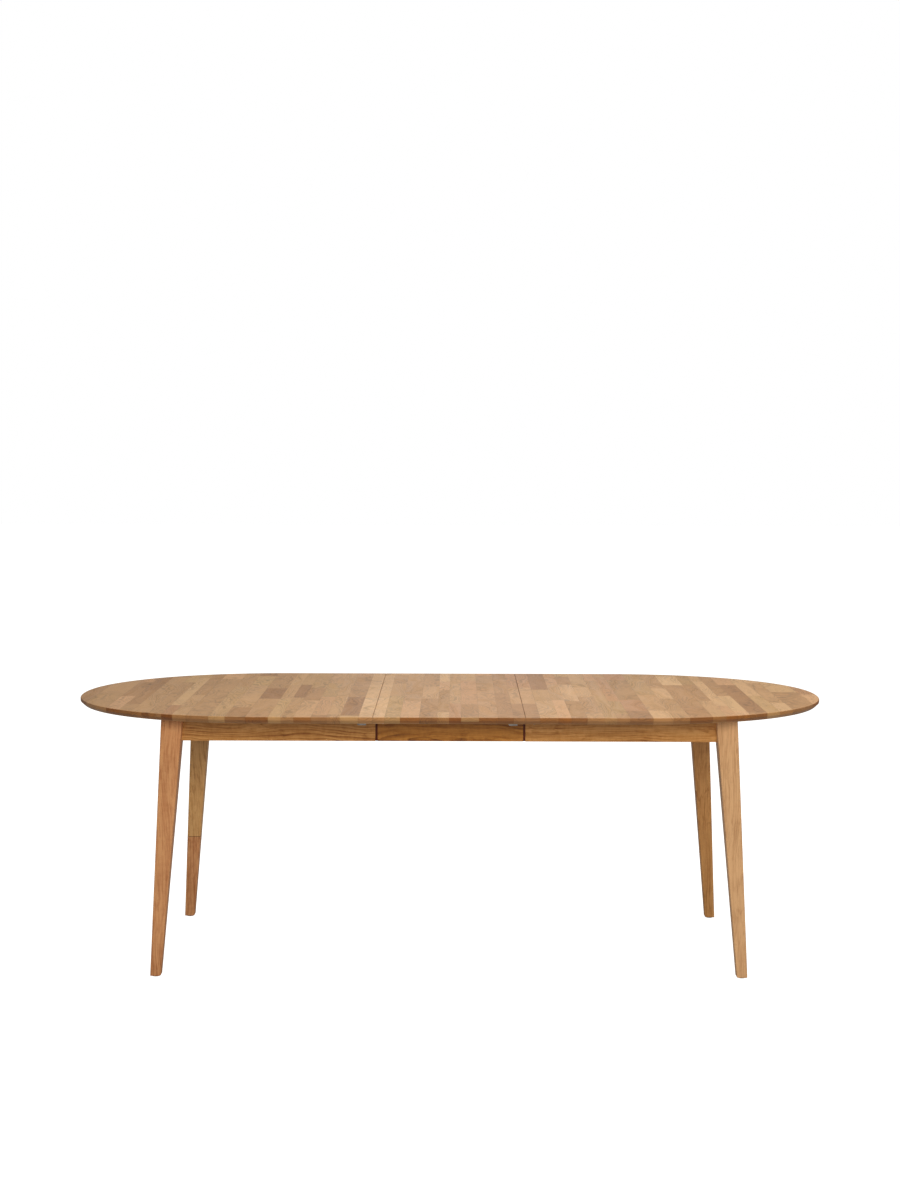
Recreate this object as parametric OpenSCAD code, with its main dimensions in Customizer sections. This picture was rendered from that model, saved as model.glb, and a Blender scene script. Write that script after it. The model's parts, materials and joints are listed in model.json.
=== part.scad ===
/* [Table] */
// Height of the table from the floor to the top surface
table_h = 750; // [640:5:900]
// Width of the top across the table
table_w = 1000; // [820:5:1250]
// Length of the table with the leaf taken out
closed_l = 1740; // [1450:5:2200]
// Length that the leaf adds
leaf_l = 410; // [300:5:520]

/* [Top] */
// Thickness of the boards of the top
top_t = 19; // [18:0.5:30]
// Length of each curved end past the straight sides
end_reach = 567; // [450:5:720]
// Fullness of the curved ends, where 2 is an ellipse
end_power = 2.08; // [2:0.01:2.6]
// Radius of the rounded upper edge
edge_round = 3; // [1:0.5:5]
// Height of the upright band of the edge with its rounding
edge_band = 9; // [6:0.5:12]
// Width of the bevel under the edge
bevel_in = 11; // [4:0.5:20]
// Clearance between the leaf and each half
seam_gap = 0.4; // [0.2:0.1:1]

/* [Legs] */
// Distance from the side edge of the top to the centre of a leg's head
leg_side_in = 190; // [140:1:210]
// Distance from the tip of the top to the centre of a leg's head
leg_end_in = 309; // [250:1:380]
// Width of the square head of a leg
leg_head = 60; // [50:1:75]
// Width of the square foot of a leg
leg_foot = 30; // [24:1:40]
// How far a foot stands out lengthwise from its head
splay_x = 50; // [10:1:60]
// How far a foot stands out crosswise from its head
splay_y = 33; // [0:1:40]
// Chamfer on the long edges of a leg
leg_edge = 3; // [1:0.5:5]
// Thickness of the glide under a foot
glide_t = 2.5; // [2:0.5:5]
// Diameter of the glide under a foot
glide_d = 22; // [18:1:24]

/* [Aprons] */
// Height of the aprons
apron_h = 73; // [62:1:90]
// Thickness of the aprons
apron_t = 20; // [16:1:26]
// Width of the gap between neighbouring aprons
apron_gap = 6; // [3:0.5:8]
// Distance of an apron gap's centre to the right of its seam
apron_shift = 3; // [0:0.5:3]
// Height of the rail that ties the aprons near a seam
rail_h = 24; // [16:1:30]
// Thickness of that rail
rail_t = 20; // [16:1:26]
// Distance of that rail's centre from the seam
rail_in = 70; // [40:1:120]
// Depth of the housing that the rail's end sits in
rail_housing = 6; // [4:0.5:10]

/* [Slides] */
// Distance from an apron's centre to the centre of its slide
slide_in = 126; // [110:1:150]
// Height of a wooden slide bar
bar_h = 40; // [36:1:50]
// Thickness of a slide bar that is screwed to the top
bar_w = 22; // [20:1:30]
// Thickness of the middle slide bar
middle_w = 22; // [20:1:30]
// Clearance between the bars and under the top
bar_gap = 1; // [0.5:0.1:2]
// Distance that a fixed bar runs on past the middle of the table
bar_cross = 50; // [46:1:60]
// Distance from the end apron's centre to the end of a fixed bar
bar_end_in = 60; // [40:1:90]
// How much shorter the middle bar is at each end
middle_short = 30; // [20:1:60]
// Travel of the right half past the leaf position
over_travel = 60; // [20:1:70]
// Clearance of the dovetail tongue in its groove
tongue_gap = 0.35; // [0.2:0.05:0.6]
// Depth of the dovetail tongue
tongue_d = 6; // [4:0.5:7]
// Height of the dovetail tongue at its root
tongue_root = 8; // [6:0.5:10]
// Height of the dovetail tongue at its tip
tongue_tip = 12; // [10:0.5:14]

/* [Gears] */
// Module of the rack and pinion teeth
gear_module = 2.5; // [2.2:0.1:2.8]
// Number of teeth on a pinion
pinion_teeth = 12; // [12:2:14]
// Pressure angle of the teeth
pressure = 25; // [25:0.5:27]
// Play between the teeth
backlash = 0.3; // [0.2:0.05:0.5]
// Height of a rack and of a pinion
gear_h = 8; // [6:0.5:10]
// Diameter of the bolt that a pinion turns on
axle_d = 6; // [5:0.5:7]
// Radial clearance of a turning piece on its pin
pin_gap = 0.05; // [0.02:0.01:0.1]

/* [Latches] */
// Distance from the side edge of the top to a latch
latch_side_in = 80; // [75:1:95]
// Distance from the seam to the pivot of a latch
latch_in = 34; // [30:1:40]
// Distance from the seam to the stud of a catch
catch_in = 26; // [24:1:34]
// Width of a latch plate
plate_w = 28; // [24:1:32]
// Thickness of the latch and catch plates
plate_t = 2.5; // [2:0.1:3]
// Depth of the lip that shields a latch
lip_h = 11; // [10:0.5:16]
// Diameter of a latch pivot
pivot_d = 8; // [6:0.5:10]
// Diameter of the stud that a latch hooks on
stud_d = 6; // [5:0.5:8]
// Width of a latch arm
arm_w = 16; // [14:1:20]

/* [Fixings] */
// Diameter of the wood screws
screw_d = 3.5; // [3:0.1:4]
// Length of the wood screws under the head
screw_l = 16; // [12:0.5:17]
// Diameter of the bolts that hold the legs
leg_bolt_d = 8; // [6:0.5:10]
// Thickness of the sheet steel brackets
sheet_t = 2.5; // [2:0.1:3]

/* [Hidden] */
$fn = 48;
tiny = 0.01;
oak = [0.77, 0.62, 0.47];
oak_dark = [0.62, 0.43, 0.26];
stained = [0.30, 0.17, 0.10];
beech = [0.80, 0.66, 0.50];
steel = [0.72, 0.73, 0.75];
zinc = [0.80, 0.80, 0.78];
nylon = [0.25, 0.25, 0.26];

// Main levels and places, with a leg's and an apron's given at its centre
under_z = table_h - top_t;
apron_z = under_z - apron_h;
seam_x = leaf_l / 2;
tip_x = closed_l / 2 + seam_x;
leg_x = tip_x - leg_end_in;
leg_y = table_w / 2 - leg_side_in;
apron_in_y = leg_y - apron_t / 2;
apron_in_x = leg_x - apron_t / 2;

// Curve of the ends, and the edge's profile as pairs of depth and inset
curve_steps = 56;
straight_x = tip_x - end_reach;
edge_profile = concat(
    [for (a = [0 : 30 : 90]) [edge_round * (1 - cos(a)), edge_round * (1 - sin(a))]],
    [[edge_band, 0], [top_t, bevel_in]]);

// Slide bars, measured crosswise from the centre of the slide
slide_y = leg_y - slide_in;
bar_low = under_z - bar_h;
bar_in = middle_w / 2 + bar_gap;
bar_out = bar_in + bar_w;
bar_reach = leg_x - bar_end_in;
middle_reach = bar_reach - seam_x - middle_short;
tongue_up = 11;
tongue_z = bar_low + tongue_up;
gear_down = 15;
gear_z = under_z - gear_down;

// Teeth
pitch = PI * gear_module;
pitch_r = gear_module * pinion_teeth / 2;
base_r = pitch_r * cos(pressure);
tip_r = pitch_r + gear_module;
root_depth = 1.25 * gear_module;
root_r = pitch_r - root_depth;
rack_web = 3;
rack_back = pitch_r + root_depth + rack_web;
rack_room = 0.5;
flank_steps = 4;
tooth_half = (pitch / 2 - backlash) / 2;
pinion_slot_gap = 1;
bolt_head_r = 6;
bolt_head_h = 5;
bolt_skin = 2;

// Stop tab under the inner end of a fixed bar
tab_t = 2.5;
tab_l = 12;
tab_screw_out = 2;
stop_play = 0.5;
tab_x = bolt_head_r + over_travel / 2 + stop_play;

// Latches, measured down from the underside of the top
latch_y = table_w / 2 - latch_side_in;
latch_r = latch_in + catch_in;
arm_t = 4;
arm_top = 5;
arm_play = 0.2;
arm_hub_r = 9;
boss_r = 7;
knob_r = arm_w / 4;
arm_past_stud = 9;
stud_play = 1;
stud_past_arm = 1;
stud_h = arm_top + arm_t + stud_past_arm;
lip_t = 2;
lip_out = 20;
lip_taper = 6;
plate_l = 28;
plate_hole_in = 5;
plate_hole_up = 2;

// Fixings
head_d = 7;
head_h = 1.6;
counterbore_d = 8;
bar_screw_seat = 8;
bar_screw_y = (rack_back + bar_out) / 2;
bar_screw_x = [70, 270, 470];
angle_leg = 22;
angle_w = 18;
angle_screw_in = 13;
angle_x = [130, 400];
angle_y = 110;
brace_side = 56;
brace_flange = 30;
brace_h = 50;
brace_z = apron_z + apron_h / 2;
leg_flat = 12;
bolt_in_leg = 36;
bolt_past_brace = 16;
washer_r = 10;
washer_t = 1.6;
nut_r = 7.5;
nut_h = 7;
block_side = 18;
block_l = 110;
block_x = 110;
glide_stem_d = 5;
glide_stem_l = 12;

// Aprons
rail_up = 2;
strip_gap = 0.4;
strip_in = 6;
strip_d = 14;

// ---- Shared placing ----

// Flips a shape that is drawn at the right to the left
module to_side(side) {
    if (side < 0) mirror([1, 0, 0]) children();
    else children();
}

// Flips a shape that is drawn at the rear to the front
module to_end(end) {
    if (end < 0) mirror([0, 1, 0]) children();
    else children();
}

// Extrudes a profile drawn in (Y, Z) from one X to another
module along_x(from, to) {
    translate([from, 0, 0]) rotate([90, 0, 90]) linear_extrude(to - from) children();
}

// Extrudes a profile drawn in (X, Z) from one Y to another
module along_y(from, to) {
    translate([0, to, 0]) rotate([90, 0, 0]) linear_extrude(to - from) children();
}

// Box between two opposite corners
module box(low, high) {
    translate(low) cube(high - low);
}

// ---- Top boards ----

// Point of the right end's curve at angle a, and the unit normal there
function curve_point(a) = [
    straight_x + end_reach * pow(abs(cos(a)), 2 / end_power),
    sign(a) * table_w / 2 * pow(abs(sin(a)), 2 / end_power)];
function curve_slope(a) = [
    pow(abs(cos(a)), 2 - 2 / end_power) / end_reach,
    sign(a) * pow(abs(sin(a)), 2 - 2 / end_power) / (table_w / 2)];
function unit(v) = v / norm(v);

curve_angles = [for (i = [0 : curve_steps]) -90 + 180 * i / curve_steps];
half_points = concat(
    [[seam_x + seam_gap / 2, -table_w / 2]],
    [for (a = curve_angles) curve_point(a)],
    [[seam_x + seam_gap / 2, table_w / 2]]);
half_normals = concat(
    [[0, -1]],
    [for (a = curve_angles) unit(curve_slope(a))],
    [[0, 1]]);
leaf_edge = seam_x - seam_gap / 2;
leaf_points = [
    [-leaf_edge, -table_w / 2], [leaf_edge, -table_w / 2],
    [leaf_edge, table_w / 2], [-leaf_edge, table_w / 2]];
leaf_normals = [[0, -1], [0, -1], [0, 1], [0, 1]];

// Board with the edge profile run around its outline, along the outline's normals
module board(points, normals) {
    count = len(points);
    rings = len(edge_profile);
    corners = [for (p = edge_profile) for (i = [0 : count - 1])
        [points[i].x - normals[i].x * p[1], points[i].y - normals[i].y * p[1], table_h - p[0]]];
    sides = [for (r = [0 : rings - 2]) for (i = [0 : count - 1])
        [r * count + i, r * count + (i + 1) % count,
            (r + 1) * count + (i + 1) % count, (r + 1) * count + i]];
    upper = [for (i = [count - 1 : -1 : 0]) i];
    lower = [for (i = [0 : count - 1]) (rings - 1) * count + i];
    polyhedron(corners, concat([upper], sides, [lower]));
}

module top_half(side) {
    color(oak) difference() {
        to_side(side) board(half_points, half_normals);
        at_top_screws(side) screw_hole();
        if (side < 0) at_latches(-seam_x) at_plate_screws() screw_hole();
        else at_catches(seam_x) at_catch_screws() screw_hole();
    }
}

module leaf_top() {
    color(oak) difference() {
        board(leaf_points, leaf_normals);
        at_catches(-seam_x) at_catch_screws() screw_hole();
        at_latches(seam_x) at_plate_screws() screw_hole();
    }
}

// ---- Legs ----

// How far down the leg a height lies, 0 at the head and 1 at the foot
function leg_drop(z) = (under_z - z) / (under_z - glide_t);
function leg_half(z) = (leg_head + (leg_foot - leg_head) * leg_drop(z)) / 2;
function leg_mid_x(z) = leg_x + splay_x * leg_drop(z);
function leg_mid_y(z) = leg_y + splay_y * leg_drop(z);
function leg_in_x(z) = leg_mid_x(z) - leg_half(z);
function leg_in_y(z) = leg_mid_y(z) - leg_half(z);

// Chamfered square section of the leg at height z
function leg_section(z) = let (h = leg_half(z), c = h - leg_edge) [
    for (p = [[-c, -h], [c, -h], [h, -c], [h, c], [c, h], [-c, h], [-h, c], [-h, -c]])
        [leg_mid_x(z) + p.x, leg_mid_y(z) + p.y, z]];

module leg_blank() {
    corners = concat(leg_section(glide_t), leg_section(under_z));
    count = len(corners) / 2;
    sides = [for (i = [0 : count - 1])
        [count + i, count + (i + 1) % count, (i + 1) % count, i]];
    upper = [for (i = [count - 1 : -1 : 0]) count + i];
    lower = [for (i = [0 : count - 1]) i];
    polyhedron(corners, concat([upper], sides, [lower]));
}

// Turns +X onto the line from the brace to the leg's centre
module on_brace() {
    translate([apron_in_x - brace_side / 2, apron_in_y - brace_side / 2, brace_z])
        rotate([0, 0, 45]) children();
}

// Distance from the brace to the flat on the leg's inner corner
leg_corner_gap = (leg_in_x(brace_z) - apron_in_x + leg_in_y(brace_z) - apron_in_y + brace_side) / sqrt(2);
leg_flat_x = leg_corner_gap + leg_flat / sqrt(2);

module leg(side, end) {
    color(oak_dark) to_side(side) to_end(end) difference() {
        leg_blank();
        on_brace() box([0, -leg_head, -apron_h / 2], [leg_flat_x, leg_head, apron_h / 2 + tiny]);
        on_brace() leg_bolt();
        translate([leg_mid_x(glide_t), leg_mid_y(glide_t), glide_t - tiny])
            cylinder(d = glide_stem_d, h = glide_stem_l + tiny);
    }
}

module glides(side) {
    color(nylon) to_side(side) for (end = [-1, 1]) to_end(end)
        translate([leg_mid_x(glide_t), leg_mid_y(glide_t), 0]) {
            cylinder(d = glide_d, h = glide_t);
            cylinder(d = glide_stem_d, h = glide_t + glide_stem_l);
        }
}

module leg_bolt() {
    rotate([0, 90, 0]) translate([0, 0, -bolt_past_brace])
        cylinder(d = leg_bolt_d, h = bolt_past_brace + leg_flat_x + bolt_in_leg);
}

module leg_bolts(side) {
    color(zinc) to_side(side) for (end = [-1, 1]) to_end(end) on_brace() leg_bolt();
}

module leg_nut() {
    rotate([0, 90, 0]) translate([0, 0, -sheet_t - washer_t - nut_h]) difference() {
        union() {
            cylinder(r = nut_r, h = nut_h + tiny, $fn = 6);
            translate([0, 0, nut_h]) cylinder(r = washer_r, h = washer_t);
        }
        translate([0, 0, -tiny]) cylinder(d = leg_bolt_d, h = nut_h + washer_t + 2 * tiny);
    }
}

module leg_nuts(side) {
    color(zinc) to_side(side) for (end = [-1, 1]) to_end(end) on_brace() leg_nut();
}

// Corner brace, folded so that its two flanges lie on the aprons
module leg_brace() {
    fold = sheet_t * (sqrt(2) - 1);
    outer = [
        [apron_in_x - brace_side - brace_flange, apron_in_y], [apron_in_x - brace_side, apron_in_y],
        [apron_in_x, apron_in_y - brace_side], [apron_in_x, apron_in_y - brace_side - brace_flange]];
    inner = [
        [apron_in_x - sheet_t, apron_in_y - brace_side - brace_flange],
        [apron_in_x - sheet_t, apron_in_y - brace_side - fold],
        [apron_in_x - brace_side - fold, apron_in_y - sheet_t],
        [apron_in_x - brace_side - brace_flange, apron_in_y - sheet_t]];
    difference() {
        translate([0, 0, brace_z - brace_h / 2]) linear_extrude(brace_h) polygon(concat(outer, inner));
        on_brace() leg_bolt();
        at_brace_screws() screw_hole();
    }
}

module leg_braces(side) {
    color(steel) to_side(side) for (end = [-1, 1]) to_end(end) leg_brace();
}

// ---- Aprons and rails ----

// Inner end of a long apron, on its own side of the gap near a seam
function apron_end_x(side) = side * seam_x + apron_shift + side * apron_gap / 2;

module long_apron(side, end) {
    color(oak_dark) difference() {
        to_end(end) along_y(apron_in_y, apron_in_y + apron_t) polygon([
            [apron_end_x(side), apron_z], [apron_end_x(side), under_z],
            [side * leg_in_x(under_z), under_z], [side * leg_in_x(apron_z), apron_z]]);
        seam_rail_blank(side);
        to_side(side) to_end(end) at_long_apron_screws() screw_hole();
    }
}

module end_apron(side) {
    color(oak_dark) to_side(side) difference() {
        along_x(apron_in_x, apron_in_x + apron_t) polygon([
            [-leg_in_y(apron_z), apron_z], [leg_in_y(apron_z), apron_z],
            [leg_in_y(under_z), under_z], [-leg_in_y(under_z), under_z]]);
        for (end = [-1, 1]) to_end(end) at_end_apron_screws() screw_hole();
    }
}

// Stained strip in an apron gap, glued to the end of the apron at the gap's right
module gap_strips(x) {
    color(stained) for (end = [-1, 1]) to_end(end) box(
        [x - apron_gap / 2 + strip_gap, apron_in_y + apron_t - strip_in - strip_d, apron_z],
        [x + apron_gap / 2, apron_in_y + apron_t - strip_in, under_z]);
}

module leaf_apron(end) {
    color(oak_dark) to_end(end) box(
        [-seam_x + apron_shift + apron_gap / 2, apron_in_y, apron_z],
        [seam_x + apron_shift - apron_gap / 2, apron_in_y + apron_t, under_z]);
}

module leaf_blocks() {
    color(beech) for (x = [-block_x, block_x]) for (end = [-1, 1]) to_end(end) along_x(
        x - block_l / 2, x + block_l / 2)
        polygon([
            [apron_in_y, under_z], [apron_in_y, under_z - block_side],
            [apron_in_y - block_side, under_z]]);
}

module seam_rail_blank(side) {
    to_side(side) box(
        [seam_x + rail_in - rail_t / 2, -apron_in_y - rail_housing, apron_z + rail_up],
        [seam_x + rail_in + rail_t / 2, apron_in_y + rail_housing, apron_z + rail_up + rail_h]);
}

module seam_rail(side) {
    color(beech) seam_rail_blank(side);
}

// Steel angle between an apron's inner face, at y = 0, and the top, at z = 0
module top_angle() {
    translate([-angle_w / 2, 0, 0]) along_x(0, angle_w) polygon([
        [0, 0], [0, -angle_leg], [-sheet_t, -angle_leg],
        [-sheet_t, -sheet_t], [-angle_leg, -sheet_t], [-angle_leg, 0]]);
}

module at_long_angles() {
    for (x = angle_x) translate([seam_x + x, apron_in_y, under_z]) children();
}

module at_end_angles() {
    translate([apron_in_x, angle_y, under_z]) rotate([0, 0, -90]) children();
}

module top_angles(side) {
    color(steel) to_side(side) for (end = [-1, 1]) to_end(end) {
        at_long_angles() drilled_angle();
        at_end_angles() drilled_angle();
    }
}

module drilled_angle() {
    difference() {
        top_angle();
        at_angle_top() screw_hole();
        at_angle_side() screw_hole();
    }
}

// ---- Slides ----

function tongue_half(y) = (tongue_tip + (tongue_root - tongue_tip)
    * (y - bar_in + tongue_d) / tongue_d) / 2;

// Places a bar, rack or tab on the outer bar at the left and the inner bar at the right
module on_bar(side, end) {
    to_end(end) translate([0, slide_y, 0]) mirror([0, side > 0 ? 1 : 0, 0]) children();
}

function bar_from(side) = side < 0 ? -bar_reach : -bar_cross;
function bar_to(side) = side < 0 ? bar_cross : bar_reach;

module slide_bar(side, end) {
    color(beech) difference() {
        on_bar(side, end) along_x(bar_from(side), bar_to(side)) polygon([
            [bar_in, bar_low], [bar_out, bar_low], [bar_out, under_z], [bar_in, under_z],
            [bar_in, gear_z + gear_h / 2], [rack_back, gear_z + gear_h / 2],
            [rack_back, gear_z - gear_h / 2], [bar_in, gear_z - gear_h / 2],
            [bar_in, tongue_z + tongue_root / 2], [bar_in - tongue_d, tongue_z + tongue_tip / 2],
            [bar_in - tongue_d, tongue_z - tongue_tip / 2], [bar_in, tongue_z - tongue_root / 2]]);
        at_bar_screws(side, end) {
            screw_hole();
            translate([0, 0, -bar_h]) cylinder(d = counterbore_d, h = bar_h);
        }
        on_bar(side, end) at_tab_screw(side) screw_hole();
    }
}

module slide_middle(end) {
    half = middle_w / 2;
    groove = bar_in - tongue_d - tongue_gap;
    mouth = tongue_half(half) + tongue_gap;
    deep = tongue_half(groove) + tongue_gap;
    side_points = [
        [half, bar_low], [half, tongue_z - mouth], [groove, tongue_z - deep],
        [groove, tongue_z + deep], [half, tongue_z + mouth], [half, under_z - bar_gap]];
    other_points = [for (i = [len(side_points) - 1 : -1 : 0]) [-side_points[i].x, side_points[i].y]];
    slot_x = tip_r + pinion_slot_gap;
    slot_z = gear_h / 2 + pinion_slot_gap;
    color(beech) to_end(end) translate([0, slide_y, 0]) difference() {
        along_x(-middle_reach, middle_reach) polygon(concat(side_points, other_points));
        box([-slot_x, -middle_w, gear_z - slot_z], [slot_x, middle_w, gear_z + slot_z]);
        for (y = [-1, 1]) mirror([0, y > 0 ? 0 : 1, 0]) box(
            [-middle_reach - tiny, pitch_r - gear_module - rack_room, gear_z - slot_z],
            [middle_reach + tiny, middle_w, gear_z + slot_z]);
        translate([0, 0, bar_low - tiny]) cylinder(d = axle_d, h = bar_h);
    }
}

// Straight rack whose tooth spaces are centred on whole pitches from the middle
module rack(side, end) {
    low = pitch_r - gear_module;
    root = pitch_r + root_depth;
    tip_half = tooth_half - gear_module * tan(pressure);
    root_half = tooth_half + root_depth * tan(pressure);
    long = floor(bar_reach / pitch);
    short = floor(bar_cross / pitch);
    first = side < 0 ? -long : -short;
    last = side < 0 ? short : long;
    teeth = [for (k = [first : last - 1]) let (x = (k + 0.5) * pitch)
        each [[x - root_half, root], [x - tip_half, low], [x + tip_half, low], [x + root_half, root]]];
    color(steel) on_bar(side, end) translate([0, 0, gear_z - gear_h / 2]) linear_extrude(gear_h)
        polygon(concat([[first * pitch, rack_back], [first * pitch, root]], teeth,
            [[last * pitch, root], [last * pitch, rack_back]]));
}

// Half angle of an involute tooth at radius r
function involute(a) = tan(a) * 180 / PI - a;
function tooth_angle(r) = tooth_half / pitch_r * 180 / PI + involute(pressure) - involute(acos(base_r / r));

module pinion(end) {
    flank = [for (i = [0 : flank_steps]) base_r + (tip_r - base_r) * i / flank_steps];
    root_half = tooth_angle(base_r);
    tooth = concat(
        [[root_r, -root_half]], [for (r = flank) [r, -tooth_angle(r)]],
        [for (i = [flank_steps : -1 : 0]) [flank[i], tooth_angle(flank[i])]], [[root_r, root_half]]);
    points = [for (k = [0 : pinion_teeth - 1]) for (p = tooth)
        let (a = 90 + k * 360 / pinion_teeth + p[1]) p[0] * [cos(a), sin(a)]];
    color(steel) to_end(end) translate([0, slide_y, gear_z - gear_h / 2]) difference() {
        linear_extrude(gear_h) polygon(points);
        translate([0, 0, -tiny]) cylinder(d = axle_d + 2 * pin_gap, h = gear_h + 2 * tiny);
    }
}

module pinion_bolt(end) {
    color(zinc) to_end(end) translate([0, slide_y, bar_low]) {
        translate([0, 0, -bolt_head_h]) cylinder(r = bolt_head_r, h = bolt_head_h);
        cylinder(d = axle_d, h = bar_h - bar_gap - bolt_skin);
    }
}

module at_tab_screw(side) {
    tab_y = (bar_in + bar_out) / 2 + tab_screw_out;
    translate([-side * (tab_x + tab_l / 2), tab_y, bar_low - tab_t]) children();
}

module stop_tabs(side) {
    color(steel) for (end = [-1, 1]) on_bar(side, end) difference() {
        translate([-side * (tab_x + tab_l / 2), 0, 0]) box(
            [-tab_l / 2, -bolt_head_r / 2, bar_low - tab_t], [tab_l / 2, bar_out, bar_low]);
        at_tab_screw(side) screw_hole();
    }
}

// ---- Latches ----

// Places the latches of one seam, with the seam at x = 0 and the underside at z = 0
module at_latches(x) {
    for (end = [-1, 1]) at_latch(x, end) children();
}

module at_latch(x, end) {
    to_end(end) translate([x - latch_in, latch_y, under_z]) children();
}

module at_catches(x) {
    for (end = [-1, 1]) to_end(end) translate([x + catch_in, latch_y, under_z]) children();
}

module latch_plate() {
    half = plate_w / 2;
    difference() {
        union() {
            box([-half, -plate_l / 2, -plate_t], [half, lip_out + lip_t, 0]);
            along_y(lip_out, lip_out + lip_t) polygon([
                [-half, 0], [half, 0], [half, -lip_h], [lip_taper - half, -lip_h], [-half, -plate_t]]);
            translate([0, 0, arm_play - arm_top]) cylinder(r = boss_r, h = arm_top - arm_play);
        }
        translate([0, 0, -arm_top]) cylinder(d = pivot_d, h = arm_top + tiny);
        at_plate_screws() screw_hole();
    }
}

module latch_plates(x) {
    color(zinc) at_latches(x) latch_plate();
}

module latch_pivots(x) {
    head_z = -arm_top - arm_t - arm_play;
    color(steel) at_latches(x) {
        translate([0, 0, head_z]) cylinder(d = pivot_d, h = -head_z);
        translate([0, 0, head_z - head_h]) cylinder(r = boss_r, h = head_h);
    }
}

// Arm of an open latch, which points to the middle of the table
module latch_arm(x, end) {
    color(zinc) at_latch(x, end) rotate([0, 0, -90]) translate([0, 0, -arm_top - arm_t]) difference() {
        union() {
            cylinder(r = arm_hub_r, h = arm_t);
            box([0, -arm_w / 2, 0], [latch_r + arm_past_stud, arm_w / 2, arm_t]);
            translate([latch_r / 2, 0, -arm_t]) cylinder(r = knob_r, h = arm_t);
        }
        translate([0, 0, -tiny]) cylinder(d = pivot_d + 2 * pin_gap, h = arm_t + 2 * tiny);
        translate([latch_r, 0, -tiny]) cylinder(r = stud_d / 2 + stud_play, h = arm_t + 2 * tiny);
        box([latch_r - stud_d / 2 - stud_play, 0, -tiny],
            [latch_r + stud_d / 2 + stud_play, arm_w, arm_t + tiny]);
    }
}

module catch_plates(x) {
    color(zinc) at_catches(x) difference() {
        union() {
            box([-plate_w / 2, -plate_l / 2, -plate_t], [plate_w / 2, plate_l / 2, 0]);
            translate([0, 0, -stud_h]) cylinder(d = stud_d, h = stud_h - plate_t / 2);
        }
        at_catch_screws() screw_hole();
    }
}

// ---- Screws ----

// Screw that points up, with its head's seat at z = 0
module screw() {
    translate([0, 0, -head_h]) cylinder(d = head_d, h = head_h);
    cylinder(d = screw_d, h = screw_l);
}

module screw_hole() {
    translate([0, 0, -tiny]) cylinder(d = screw_d, h = screw_l + tiny);
}

module at_angle_top() {
    translate([0, -angle_screw_in, -sheet_t]) children();
}

module at_angle_side() {
    translate([0, -sheet_t, -angle_screw_in]) rotate([-90, 0, 0]) children();
}

module at_plate_screws() {
    hole_x = plate_w / 2 - plate_hole_in;
    for (x = [-1, 1]) translate([x * hole_x, plate_l / 2 - plate_hole_up, -plate_t]) children();
}

module at_catch_screws() {
    for (y = [-1, 1]) translate([0, y * (plate_l / 2 - plate_hole_in), -plate_t]) children();
}

module at_long_apron_screws() {
    at_long_angles() at_angle_side() children();
    translate([apron_in_x - brace_side - brace_flange / 2, apron_in_y - sheet_t, brace_z])
        rotate([-90, 0, 0]) children();
}

module at_end_apron_screws() {
    at_end_angles() at_angle_side() children();
    translate([apron_in_x - sheet_t, apron_in_y - brace_side - brace_flange / 2, brace_z])
        rotate([0, 90, 0]) children();
}

module at_brace_screws() {
    at_long_apron_screws() children();
    at_end_apron_screws() children();
}

module at_bar_screws(side, end) {
    on_bar(side, end) for (x = bar_screw_x)
        translate([side * (seam_x + x), bar_screw_y, under_z - bar_screw_seat]) children();
}

module at_top_screws(side) {
    for (end = [-1, 1]) {
        to_side(side) to_end(end) at_long_angles() at_angle_top() children();
        to_side(side) to_end(end) at_end_angles() at_angle_top() children();
        at_bar_screws(side, end) children();
    }
}

module half_screws(side) {
    color(steel) {
        at_top_screws(side) screw();
        to_side(side) for (end = [-1, 1]) to_end(end) at_brace_screws() screw();
        for (end = [-1, 1]) on_bar(side, end) at_tab_screw(side) screw();
        if (side < 0) at_latches(-seam_x) at_plate_screws() screw();
        else at_catches(seam_x) at_catch_screws() screw();
    }
}

module leaf_screws() {
    color(steel) {
        at_catches(-seam_x) at_catch_screws() screw();
        at_latches(seam_x) at_plate_screws() screw();
    }
}

top_half(-1);  // top_left
top_half(1);  // top_right
leaf_top();
leg(-1, -1);  // leg_front_left
leg(-1, 1);  // leg_rear_left
leg(1, -1);  // leg_front_right
leg(1, 1);  // leg_rear_right
glides(-1);  // glides_left
glides(1);  // glides_right
long_apron(-1, -1);  // apron_front_left
long_apron(-1, 1);  // apron_rear_left
end_apron(-1);  // apron_end_left
long_apron(1, -1);  // apron_front_right
long_apron(1, 1);  // apron_rear_right
end_apron(1);  // apron_end_right
leaf_apron(-1);  // leaf_apron_front
leaf_apron(1);  // leaf_apron_rear
leaf_blocks();
gap_strips(apron_shift - seam_x);  // gap_strips_leaf
gap_strips(apron_shift + seam_x);  // gap_strips_right
seam_rail(-1);  // seam_rail_left
seam_rail(1);  // seam_rail_right
leg_braces(-1);  // leg_braces_left
leg_braces(1);  // leg_braces_right
leg_bolts(-1);  // leg_bolts_left
leg_bolts(1);  // leg_bolts_right
leg_nuts(-1);  // leg_nuts_left
leg_nuts(1);  // leg_nuts_right
top_angles(-1);  // top_angles_left
top_angles(1);  // top_angles_right
slide_bar(-1, -1);  // slide_bar_front_left
slide_bar(-1, 1);  // slide_bar_rear_left
slide_bar(1, -1);  // slide_bar_front_right
slide_bar(1, 1);  // slide_bar_rear_right
slide_middle(-1);  // slide_middle_front
slide_middle(1);  // slide_middle_rear
rack(-1, -1);  // rack_front_left
rack(-1, 1);  // rack_rear_left
rack(1, -1);  // rack_front_right
rack(1, 1);  // rack_rear_right
pinion(-1);  // pinion_front
pinion(1);  // pinion_rear
pinion_bolt(-1);  // pinion_bolt_front
pinion_bolt(1);  // pinion_bolt_rear
stop_tabs(-1);  // stop_tabs_left
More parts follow.
